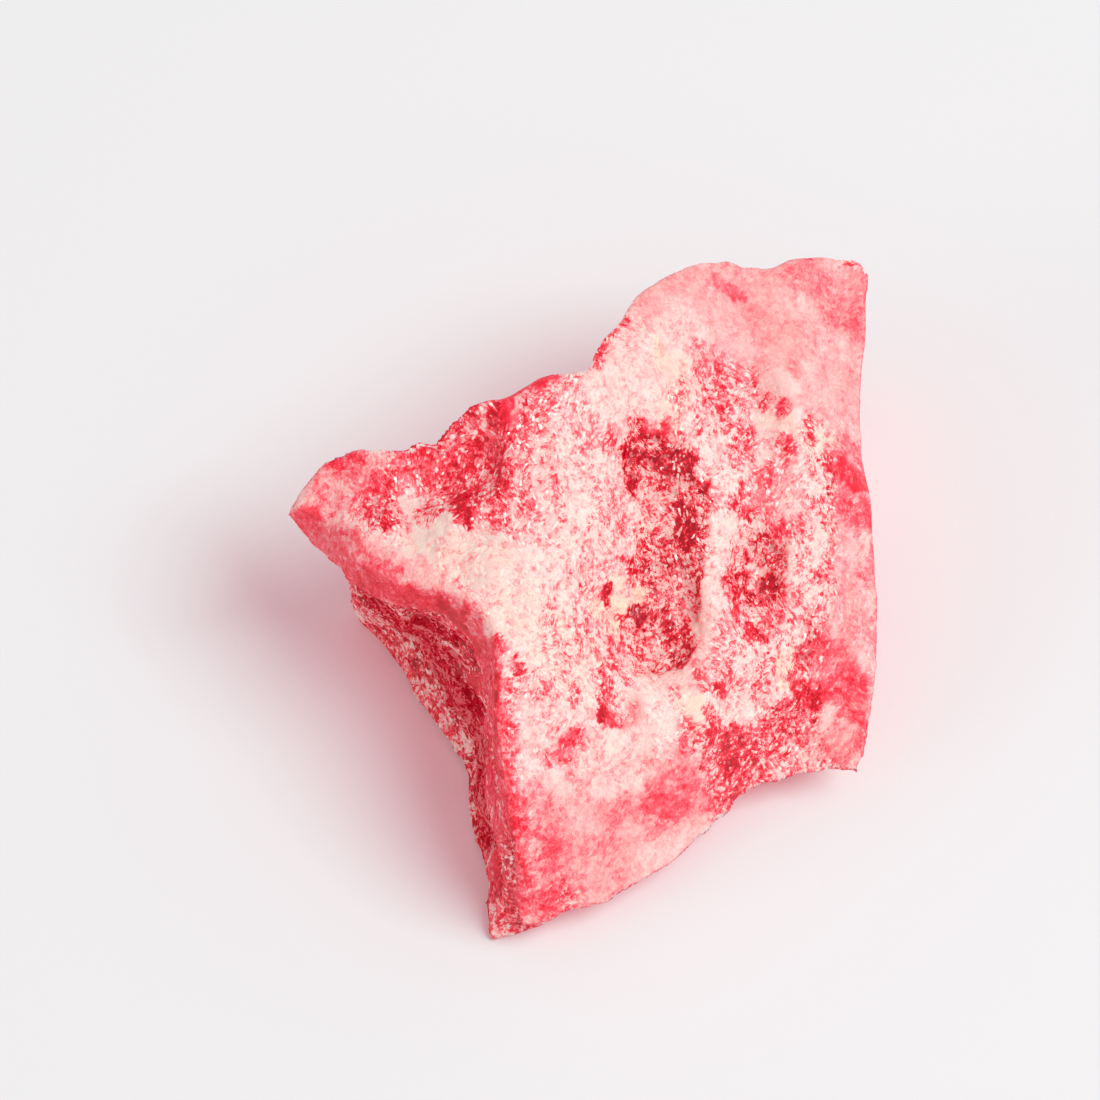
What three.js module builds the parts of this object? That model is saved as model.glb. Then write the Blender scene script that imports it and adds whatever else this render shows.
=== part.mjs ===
// Rough rhodonite: one broken chip of massive pink rhodonite, as it comes from the hammer.
//
// The chip is a thick wedge. Its upper face slopes from a high crest at the back left down to a thin
// front edge, with a hollow of coarse crystals in the middle. The left side is an undercut wall under a
// bevelled rim that runs out to an overhanging point. Underneath, a flat cleavage face carries the chip.
//
// Millimetres, +Z up. The origin is under the middle of the chip, on the plane that it rests on.
// The upper side is a scatter of points joined into even triangles. Below it, rings of points run over the
// rim, down the side and in underneath, and the flat face closes them.

import * as THREE from "three";
import { mergeVertices } from "three/addons/utils/BufferGeometryUtils.js";

// ---------------------------------------------------------------------------- driving dimensions

const AXIS = new THREE.Vector2(2.3, -0.8); // the upright axis that every outline turns around

// The broken rim, clockwise from the left point: x, y, z, and the bevel above it, which runs in
// towards the axis and rises to the edge of the upper face.
const RIM = [
  [-14.6, 2.4, 9.1, 0.6, 1.2],
  [-13.8, 3.6, 10, 0.8, 0.6],
  [-12.8, 4.5, 11, 0.3, 0.2],
  [-11.4, 5, 11.6, 0.3, 0.2],
  [-9, 4.5, 12.2, 0.3, 0.2],
  [-7, 5.5, 12.8, 0.3, 0.2],
  [-5.6, 6.4, 13.3, 0.3, 0.2],
  [-3.7, 6.5, 13.5, 0.3, 0.2],
  [-2.2, 7.5, 13.7, 0.3, 0.2],
  [-0.9, 8, 13.8, 0.3, 0.2],
  [-0.1, 7.9, 13.9, 0.3, 0.2],
  [0.6, 10, 13.4, 0.3, 0.2],
  [2.5, 13.2, 12.2, 0.3, 0.2],
  [3.9, 14.7, 11.6, 0.3, 0.2],
  [5.2, 15.7, 11.2, 0.3, 0.2],
  [7, 16.4, 10.6, 0.3, 0.2],
  [9.2, 16.1, 10, 0.3, 0.2],
  [10.3, 16.9, 9.6, 0.3, 0.2],
  [12, 17.2, 9.2, 0.3, 0.2],
  [13.5, 17.3, 8.8, 0.3, 0.2],
  [14, 16.8, 8.6, 0.3, 0.2],
  [13.8, 11.9, 8.5, 0.3, 0.2],
  [13.6, 9.7, 8.2, 0.3, 0.2],
  [13.5, 6.9, 7.8, 0.3, 0.2],
  [13.8, 4.3, 7.2, 0.3, 0.2],
  [14.1, 1.1, 6.4, 0.3, 0.2],
  [14.2, -1.6, 5.6, 0.3, 0.2],
  [14.2, -3.5, 5, 0.3, 0.2],
  [13.7, -7.2, 3.5, 0.3, 0.2],
  [13.3, -8.3, 2.6, 0.3, 0.2],
  [12, -8, 2.3, 0.3, 0.2],
  [10.3, -8.2, 2.3, 0.3, 0.2],
  [8, -9.7, 2.2, 0.3, 0.2],
  [4.6, -12.4, 1.8, 0.3, 0.2],
  [1.3, -14.9, 1.8, 0.3, 0.2],
  [-0.4, -15.5, 2, 0.3, 0.2],
  [-1.8, -16.3, 2.1, 0.3, 0.2],
  [-3.2, -16.3, 1.8, 0.4, 0.9],
  [-3.5, -14.8, 4.4, 0.5, 1.6],
  [-3.9, -13.2, 6, 0.8, 2],
  [-4.3, -11.5, 7.4, 1.1, 1.7],
  [-4.6, -9.3, 8.9, 1.1, 1.6],
  [-4.6, -6.2, 10.5, 0.6, 1.2],
  [-5.3, -4.7, 10.6, 0.6, 1.6],
  [-7, -3.6, 10.2, 0.8, 1.7],
  [-9.6, -2.6, 9.6, 1.6, 2.1],
  [-11.6, -0.9, 8.8, 1.7, 2.4],
  [-13.7, 1.5, 8.1, 1.7, 2.4],
];

// Where the side ends below, going round the same way: x, y, z.
const FOOT = [
  [-11.9, 2.7, 0.5],
  [-10.0, 4.0, 1.2],
  [-6.2, 5.0, 0.8],
  [-1.4, 6.6, 1.2],
  [0.6, 9.6, 0.7],
  [3.4, 13.2, 1.2],
  [6.6, 14.6, 0.8],
  [11.8, 15.8, 1.3],
  [12.7, 14.8, 1.0],
  [12.4, 7.2, 0.8],
  [12.9, -1.6, 1.0],
  [12.4, -6.0, 0.7],
  [9.8, -6.7, 0.5],
  [6.8, -8.0, 0.7],
  [3.6, -11.0, 0.5],
  [0.6, -13.7, 0.4],
  [-2.0, -15.5, 0.3],
  [-3.6, -16.0, 0.3],
  [-4.6, -16.0, 0.2],
  [-5.0, -12.6, 0.2],
  [-5.5, -10.5, 0.1],
  [-5.8, -8.3, 0.2],
  [-5.7, -6.8, 0.1],
  [-7.4, -4.5, 0.2],
  [-8.4, -3.0, 0.1],
  [-9.2, -1.2, 0.2],
  [-10.2, 0.4, 0.2],
  [-11.3, 1.5, 0.3],
];
const LEAST_HEIGHT = 0.15; // of anything outside the flat face, so that nothing else touches down
const FLAT_INSET = 1.6; // from the foot in to the flat face that the chip rests on

// The planes that the upper side broke along: a point on each, and its rise per millimetre along x, y.
const UPPER_PLANES = {
  middle: { at: [2.3, -0.8, 10.2], slope: [-0.36, 0.37] },
  left: { at: [-3.5, 6.6, 13.4], slope: [0.27, 0.07] },
  back: { at: [7.1, 9.6, 11.2], slope: [-0.4, -0.06] },
  frontLeft: { at: [-3.5, -12.4, 8.6], slope: [-0.85, 1.29] },
  frontRight: { at: [12.0, -8.5, 2.6], slope: [0, 0.75] },
};
const EDGE_WEAR = 0.5; // how far the edges between them are worn down, about
const RIM_HOLD = 1.2; // how far in from its edge the upper side turns to meet the edge's own height
const EDGE_CLEAR = 0.65; // the share of their spacing that the points inside keep from the edge

// What stands proud of those planes or is sunk in them: the middle, half of its length and width, the turn
// of its length from +Y in degrees, its height, and how square its edges are (2 is a soft swell).
const FORMS = [
  { name: "left plateau", at: [-1.6, -4.4], half: [6.0, 2.6], turn: 2, height: 0.9, square: 4 },
  { name: "crystal hollow", at: [3.2, 3.1], half: [3.3, 1.8], turn: 6, height: -1.5, square: 4 },
  { name: "hollow's lower end", at: [3.0, -3.0], half: [2.9, 2.2], turn: -6, height: -1.6, square: 4 },
  { name: "small pit", at: [1.7, -7.2], half: [1.1, 0.9], turn: 0, height: -0.6, square: 4 },
  { name: "right pocket", at: [8.3, -0.6], half: [2.8, 1.4], turn: -8, height: -1.0, square: 4 },
  { name: "middle rib", at: [6.4, -1.2], half: [4.6, 0.6], turn: -8, height: 0.5, square: 3 },
  { name: "back dip", at: [7.0, 9.2], half: [2.8, 1.8], turn: 30, height: -0.7, square: 3 },
  { name: "right hump", at: [10.8, 7.6], half: [5.6, 1.5], turn: 0, height: 0.5, square: 3 },
  { name: "front slab", at: [11.4, -5.0], half: [2.6, 1.6], turn: -10, height: -0.5, square: 4 },
  { name: "front ledge", at: [6.6, -8.6], half: [1.5, 2.4], turn: 20, height: 0.5, square: 4 },
  { name: "front dip", at: [1.6, -11.6], half: [2.2, 1.6], turn: -40, height: -0.5, square: 3 },
  { name: "red shoulder", at: [-6.6, 3.4], half: [1.8, 3.0], turn: 24, height: -0.6, square: 4 },
];

// The side: how far it is hollowed (or, below nought, swollen) at half height, by direction in degrees.
const SIDE_HOLLOW = [
  [0, -0.3],
  [60, -0.2],
  [110, 0.5],
  [150, 1.0],
  [172, 1.2],
  [185, 0.9],
  [205, 0.5],
  [235, 0.2],
  [260, 0.0],
  [300, 0.2],
  [360, -0.3],
];

// The roughness of the break. Chips are shallow dished scars that meet in sharp edges and are longer along
// the cleavage than across it: how far apart they are, how much they differ in depth, how far they lean
// per millimetre, and how deep they are dished.
const CHIPS = [
  { apart: new THREE.Vector3(3.4, 5.4, 3.4), rise: 0.25, lean: 0.12, dish: 0.6 },
  { apart: new THREE.Vector3(1.5, 2.3, 1.5), rise: 0.16, lean: 0.2, dish: 0.35 },
];
const KEEP_AT_RIM = 0.4; // the share of the roughness that the rim and the foot have
const CALM = 1.6; // how far from them it is less

// How finely the skin is divided: the spacing of its points on the upper side and along the rim, how far
// they stray from even spacing, and the rings of points over each stretch below the upper side.
const UPPER_SPACING = 0.64;
const RIM_SPACING = 0.68;
const STRAY = 0.3;
const BEVEL_RINGS = 2;
const SIDE_RINGS = 10;
const UNDER_RINGS = 2;

const COLOUR = "#e8707f";

// ----------------------------------------------------------------------------------- chance

// Which of a place's repeatable numbers decides what.
const SALT = { place: [1, 2, 3], lean: [4, 5, 6], rise: 7, stray: [8, 9, 10] };

// A repeatable number from 0 to 1 for a whole-numbered place, one for each salt.
function chance(x, y, z, salt) {
  let bits = Math.imul(x, 374761393) ^ Math.imul(y, 668265263) ^ Math.imul(z, 2147483647);
  bits = Math.imul(bits ^ Math.imul(salt, 1274126177) ^ (bits >>> 13), 1103515245);
  bits = Math.imul(bits ^ (bits >>> 16), 2246822519);
  return ((bits ^ (bits >>> 15)) >>> 0) / 4294967295;
}

// The same, from -1 to 1.
const sway = (x, y, z, salt) => chance(x, y, z, salt) * 2 - 1;

// ---------------------------------------------------------------------------------- outlines

const lerp = THREE.MathUtils.lerp;

// An outline cut into even steps, each with every value of the outline.
function walk(outline, spacing) {
  return outline.flatMap((start, i) => {
    const end = outline[(i + 1) % outline.length];
    const steps = Math.max(1, Math.round(Math.hypot(end[0] - start[0], end[1] - start[1]) / spacing));
    return Array.from({ length: steps }, (_, k) => start.map((value, n) => lerp(value, end[n], k / steps)));
  });
}

// What an outline has in the direction of an angle from the axis: its distance there, then its height.
function alongRay(outline, angle) {
  const ray = new THREE.Vector2(Math.cos(angle), Math.sin(angle));
  for (let i = 0; i < outline.length; i++) {
    const [x, y, height] = outline[i];
    const [nextX, nextY, nextHeight] = outline[(i + 1) % outline.length];
    const start = new THREE.Vector2(x, y).sub(AXIS);
    const edge = new THREE.Vector2(nextX - x, nextY - y);
    const across = ray.cross(edge);
    const distance = start.cross(edge) / across;
    const share = start.cross(ray) / across;
    if (distance > 0 && share >= 0 && share < 1) return [distance, lerp(height, nextHeight, share)];
  }
  throw new Error("an outline doesn't close around the axis");
}

// A value given at a few directions, in degrees, at any direction between them.
function byDirection(list, angle) {
  const degrees = THREE.MathUtils.euclideanModulo(THREE.MathUtils.radToDeg(angle), 360);
  const next = list.findIndex(([direction]) => direction > degrees);
  const [from, low] = list[next - 1];
  const [to, high] = list[next];
  return lerp(low, high, THREE.MathUtils.smoothstep(degrees, from, to));
}

function pointAt(angle, distance, height) {
  return new THREE.Vector3(AXIS.x + Math.cos(angle) * distance, AXIS.y + Math.sin(angle) * distance, height);
}

// Whether a place lies inside a loop of points, seen from above.
function isInside(loop, x, y) {
  return loop.reduce((inside, a, i) => {
    const b = loop[(i + 1) % loop.length];
    const passes = a.y > y !== b.y > y && x < a.x + ((b.x - a.x) * (y - a.y)) / (b.y - a.y);
    return passes ? !inside : inside;
  }, false);
}

function nearest(loop, x, y) {
  const gaps = loop.map((point) => Math.hypot(point.x - x, point.y - y));
  const gap = Math.min(...gaps);
  return { gap, point: loop[gaps.indexOf(gap)] };
}

// ------------------------------------------------------------------------- rings round the side

// What there is in each direction round the side: rim, bevel and foot.
const directions = walk(RIM, RIM_SPACING).map(([x, y, rimHeight, bevelIn, bevelUp]) => {
  const angle = Math.atan2(y - AXIS.y, x - AXIS.x);
  const [footReach, footHeight] = alongRay(FOOT, angle);
  const hollow = byDirection(SIDE_HOLLOW, angle);
  const rimReach = Math.hypot(x - AXIS.x, y - AXIS.y);
  return { angle, rimReach, rimHeight, bevelIn, bevelUp, footReach, footHeight, hollow };
});
const around = directions.length;

function bevelRing(share) {
  return directions.map((way) => {
    const reach = way.rimReach - way.bevelIn * (1 - share);
    return pointAt(way.angle, reach, way.rimHeight + way.bevelUp * (1 - share * share));
  });
}

// A ring between the rim and the foot. Its points stray up and down, but not those of the foot itself.
function sideRing(share) {
  return directions.map((way, i) => {
    const ring = Math.round(share * SIDE_RINGS);
    const stray = ring < SIDE_RINGS ? STRAY * sway(i, ring, 0, SALT.stray[2]) : 0;
    const down = (ring + stray) / SIDE_RINGS;
    const reach = lerp(way.rimReach, way.footReach, down) - way.hollow * Math.sin(Math.PI * down);
    return pointAt(way.angle, reach, lerp(way.rimHeight, way.footHeight, down));
  });
}

function underRing(share) {
  return directions.map((way) =>
    pointAt(way.angle, way.footReach - FLAT_INSET * share, way.footHeight * (1 - share)),
  );
}

const parts = (count) => Array.from({ length: count }, (_, i) => (i + 1) / count);
const crest = bevelRing(0);
const rings = [
  crest,
  ...parts(BEVEL_RINGS).map(bevelRing),
  ...parts(SIDE_RINGS).map(sideRing),
  ...parts(UNDER_RINGS).map(underRing),
];

// ------------------------------------------------------------------------------- upper side

function planeHeight(plane, x, y) {
  return plane.at[2] + plane.slope[0] * (x - plane.at[0]) + plane.slope[1] * (y - plane.at[1]);
}

// The least of some heights, with the edges between them worn down.
function softLeast(heights) {
  return -Math.log(heights.reduce((sum, height) => sum + Math.exp(-height / EDGE_WEAR), 0)) * EDGE_WEAR;
}

function formHeight(form, x, y) {
  const offset = new THREE.Vector2(x - form.at[0], y - form.at[1]);
  offset.rotateAround(new THREE.Vector2(), THREE.MathUtils.degToRad(-form.turn));
  const reach = Math.hypot(offset.y / form.half[0], offset.x / form.half[1]);
  return form.height * Math.exp(-Math.pow(reach, form.square));
}

function brokenHeight(x, y) {
  const planes = UPPER_PLANES;
  const front = Math.max(planeHeight(planes.frontLeft, x, y), planeHeight(planes.frontRight, x, y));
  const others = [planes.middle, planes.left, planes.back].map((plane) => planeHeight(plane, x, y));
  return softLeast([front, ...others]) + FORMS.reduce((sum, form) => sum + formHeight(form, x, y), 0);
}

// The upper side at one place: near its edge it turns to meet the edge's own height.
function upperHeight(x, y) {
  const { gap, point } = nearest(crest, x, y);
  const lip = point.z - brokenHeight(point.x, point.y);
  return brokenHeight(x, y) + lip * Math.exp(-gap / RIM_HOLD);
}

// Places on the upper side, spread evenly in a triangular pattern and a little astray.
function upperPlaces() {
  const box = new THREE.Box3().setFromPoints(crest);
  const rowGap = (UPPER_SPACING * Math.sqrt(3)) / 2;
  const places = [];
  for (let row = 0; box.min.y + row * rowGap < box.max.y; row++) {
    for (let i = 0; box.min.x + i * UPPER_SPACING < box.max.x; i++) {
      const shift = row % 2 ? 0.5 : 0;
      const [strayX, strayY] = [0, 1].map((n) => STRAY * UPPER_SPACING * sway(i, row, 0, SALT.stray[n]));
      const x = box.min.x + (i + shift) * UPPER_SPACING + strayX;
      const y = box.min.y + row * rowGap + strayY;
      if (isInside(crest, x, y) && nearest(crest, x, y).gap > EDGE_CLEAR * UPPER_SPACING)
        places.push(new THREE.Vector3(x, y, upperHeight(x, y)));
    }
  }
  return places;
}

// The circle through three points, seen from above.
function circleThrough(a, b, c) {
  const [bx, by, cx, cy] = [b.x - a.x, b.y - a.y, c.x - a.x, c.y - a.y];
  const twice = 2 * (bx * cy - by * cx);
  const x = (cy * (bx * bx + by * by) - by * (cx * cx + cy * cy)) / twice;
  const y = (bx * (cx * cx + cy * cy) - cx * (bx * bx + by * by)) / twice;
  return { x: a.x + x, y: a.y + y, squared: x * x + y * y };
}

const FAR = 1000; // well outside the chip

// Joins points into the triangles that are nearest to even ones (Delaunay's), starting from one triangle
// that is far outside them. Each new point clears the triangles whose circles hold it, and is joined to
// the edges of the gap.
function joinEvenly(points) {
  const outside = [[-FAR, -FAR], [FAR, -FAR], [0, FAR]].map(([x, y]) => new THREE.Vector3(x, y, 0));
  const all = [...points, ...outside];
  const first = points.length;
  const triangle = (a, b, c) => ({ corners: [a, b, c], circle: circleThrough(all[a], all[b], all[c]) });
  let triangles = [triangle(first, first + 1, first + 2)];
  points.forEach((point, n) => {
    const isCleared = ({ circle }) => (point.x - circle.x) ** 2 + (point.y - circle.y) ** 2 < circle.squared;
    const cleared = triangles.filter(isCleared);
    const edges = new Map();
    for (const { corners } of cleared)
      corners.forEach((corner, i) => {
        const next = corners[(i + 1) % 3];
        if (!edges.delete(`${next} ${corner}`)) edges.set(`${corner} ${next}`, [corner, next]);
      });
    triangles = triangles.filter((one) => !isCleared(one));
    triangles.push(...[...edges.values()].map(([a, b]) => triangle(a, b, n)));
  });
  const corners = triangles.map((one) => one.corners);
  return corners.filter((three) => three.every((corner) => corner < first));
}

// ------------------------------------------------------------------------------------- skin

const sidePoints = rings.flat();
const points = [...sidePoints, ...upperPlaces()];

// The upper side is joined from the crest, which is the first ring, and the places within it.
const upperIndex = [...crest.keys(), ...points.keys()].filter((n, i) => i < around || n >= sidePoints.length);
const upperFaces = joinEvenly(upperIndex.map((n) => points[n]))
  .filter((corners) => {
    const middle = new THREE.Vector3();
    corners.forEach((corner) => middle.addScaledVector(points[upperIndex[corner]], 1 / 3));
    return isInside(crest, middle.x, middle.y);
  })
  .map((corners) => corners.map((corner) => upperIndex[corner]));

const sideFaces = rings.slice(1).flatMap((_, n) =>
  directions.flatMap((_, i) => {
    const [above, below, next] = [n * around, (n + 1) * around, (i + 1) % around];
    return [
      [above + i, below + next, below + i],
      [above + i, above + next, below + next],
    ];
  }),
);

// The flat face underneath, which faces down.
const flatFirst = (rings.length - 1) * around;
const flatShape = rings.at(-1).map((point) => new THREE.Vector2(point.x, point.y));
const flatFaces = THREE.ShapeUtils.triangulateShape(flatShape, []).map(([a, b, c]) => [
  flatFirst + c,
  flatFirst + b,
  flatFirst + a,
]);

// -------------------------------------------------------------------------------- roughness

// How deep the chips cut in at a place: the deepest of the dishes around it.
function chipDepth(place, chips) {
  const cell = place.clone().divide(chips.apart);
  const base = cell.clone().floor();
  let height = Infinity;
  for (const i of [-1, 0, 1])
    for (const j of [-1, 0, 1])
      for (const k of [-1, 0, 1]) {
        const key = [base.x + i, base.y + j, base.z + k];
        const middle = new THREE.Vector3(...key.map((value, n) => value + chance(...key, SALT.place[n])));
        const away = cell.clone().sub(middle);
        const dish = chips.dish * away.lengthSq();
        const lean = new THREE.Vector3(...SALT.lean.map((salt) => sway(...key, salt)));
        const slope = chips.lean * lean.dot(away.multiply(chips.apart));
        height = Math.min(height, dish + slope + chips.rise * sway(...key, SALT.rise));
      }
  return height;
}

// The share of the roughness at a place: less near the rim, and near the foot.
function roughShare(point) {
  const toRim = Math.min(...rings[BEVEL_RINGS].map((rimPoint) => rimPoint.distanceTo(point)));
  return lerp(KEEP_AT_RIM, 1, THREE.MathUtils.smoothstep(Math.min(toRim, point.z), 0, CALM));
}

function skin() {
  const geometry = new THREE.BufferGeometry().setFromPoints(points);
  geometry.setIndex([...upperFaces, ...sideFaces, ...flatFaces].flat());
  geometry.computeVertexNormals();
  const place = geometry.getAttribute("position");
  const facing = geometry.getAttribute("normal");
  points.forEach((point, n) => {
    if (n >= flatFirst && n < sidePoints.length) return;
    const depth = CHIPS.reduce((sum, chips) => sum + chipDepth(point, chips), 0);
    const outwards = new THREE.Vector3().fromBufferAttribute(facing, n);
    const moved = point.clone().addScaledVector(outwards, depth * roughShare(point));
    place.setXYZ(n, moved.x, moved.y, Math.max(moved.z, LEAST_HEIGHT));
  });
  geometry.deleteAttribute("normal");
  geometry.computeBoundingBox();
  const middle = geometry.boundingBox.getCenter(new THREE.Vector3());
  geometry.translate(-middle.x, -middle.y, 0);
  return mergeVertices(geometry);
}

// ------------------------------------------------------------------------------------- part

const stone = new THREE.Mesh(
  skin(),
  new THREE.MeshStandardMaterial({ color: COLOUR, roughness: 0.5, metalness: 0, flatShading: true }),
);
stone.name = "rhodonite_chip";

const part = new THREE.Group();
part.name = "rough_rhodonite";
part.add(stone);

export default part;
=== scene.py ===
"""Rough rhodonite: one hand-broken chip of massive pink rhodonite, on a sheet of white paper.

The chip's fresh breaks show a rose-red, translucent mineral that is frosted white and cream wherever it
was bruised, with coarse dark-red crystals in the hollow of its upper side. Run as a script, the add-on
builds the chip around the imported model's solid, and then its stage.
"""

import itertools
import math
from typing import NamedTuple

import bmesh
import bpy
import numpy as np
from bpy.props import FloatProperty, FloatVectorProperty, IntProperty, PointerProperty
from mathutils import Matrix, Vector


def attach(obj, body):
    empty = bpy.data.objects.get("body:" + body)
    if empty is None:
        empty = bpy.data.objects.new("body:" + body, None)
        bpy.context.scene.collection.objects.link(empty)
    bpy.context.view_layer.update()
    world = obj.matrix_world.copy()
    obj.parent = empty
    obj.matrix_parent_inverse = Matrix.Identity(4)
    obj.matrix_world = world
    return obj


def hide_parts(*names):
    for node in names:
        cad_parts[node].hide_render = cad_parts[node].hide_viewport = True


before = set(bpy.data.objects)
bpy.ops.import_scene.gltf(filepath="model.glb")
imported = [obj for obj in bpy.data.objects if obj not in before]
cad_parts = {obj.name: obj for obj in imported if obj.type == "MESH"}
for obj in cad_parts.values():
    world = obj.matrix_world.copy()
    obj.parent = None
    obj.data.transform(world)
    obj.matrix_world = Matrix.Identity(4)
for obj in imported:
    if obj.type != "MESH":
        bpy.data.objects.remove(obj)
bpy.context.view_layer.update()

bl_info = {
    "name": "Rough Rhodonite",
    "version": (1, 0, 0),
    "blender": (4, 5, 0),
    "location": "3D View > Sidebar > Mineral",
    "description": "Builds a rough chip of rhodonite and the paper it lies on",
    "category": "Add Mesh",
}

MM = 0.001
NODE = "rhodonite_chip"
STONE = "rhodonite_stone"

SRGB_STEPS = 255
SRGB_TOE = 0.04045  # up to here the curve is a straight line
SRGB_TOE_SLOPE = 12.92
SRGB_OFFSET = 0.055
SRGB_POWER = 2.4


def linear(hex_colour):
    """The linear red, green and blue of an sRGB hex colour."""
    values = [int(hex_colour[n : n + 2], 16) / SRGB_STEPS for n in range(1, len(hex_colour), 2)]
    return [
        v / SRGB_TOE_SLOPE if v <= SRGB_TOE else ((v + SRGB_OFFSET) / (1 + SRGB_OFFSET)) ** SRGB_POWER
        for v in values
    ]


# -------------------- markings
# Where the mineral changes, in millimetres from the origin. Each stroke has a name, a value, how far it
# reaches to each side, and a path of places: x, y on the upper side, or x, y, z on the undercut wall.
# A later stroke covers an earlier one. Tone runs from 0, bruised white, through 0.5, rose, to 1, the dark
# red of clear crystals, and a little further for the deepest of them.

REST_TONE = 0.34  # of the upper side between the strokes
SIDE_TONE = 0.60  # of the sides and the underside
SIDE_SMOOTH = -0.2  # how smooth the sides and the underside broke

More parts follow.
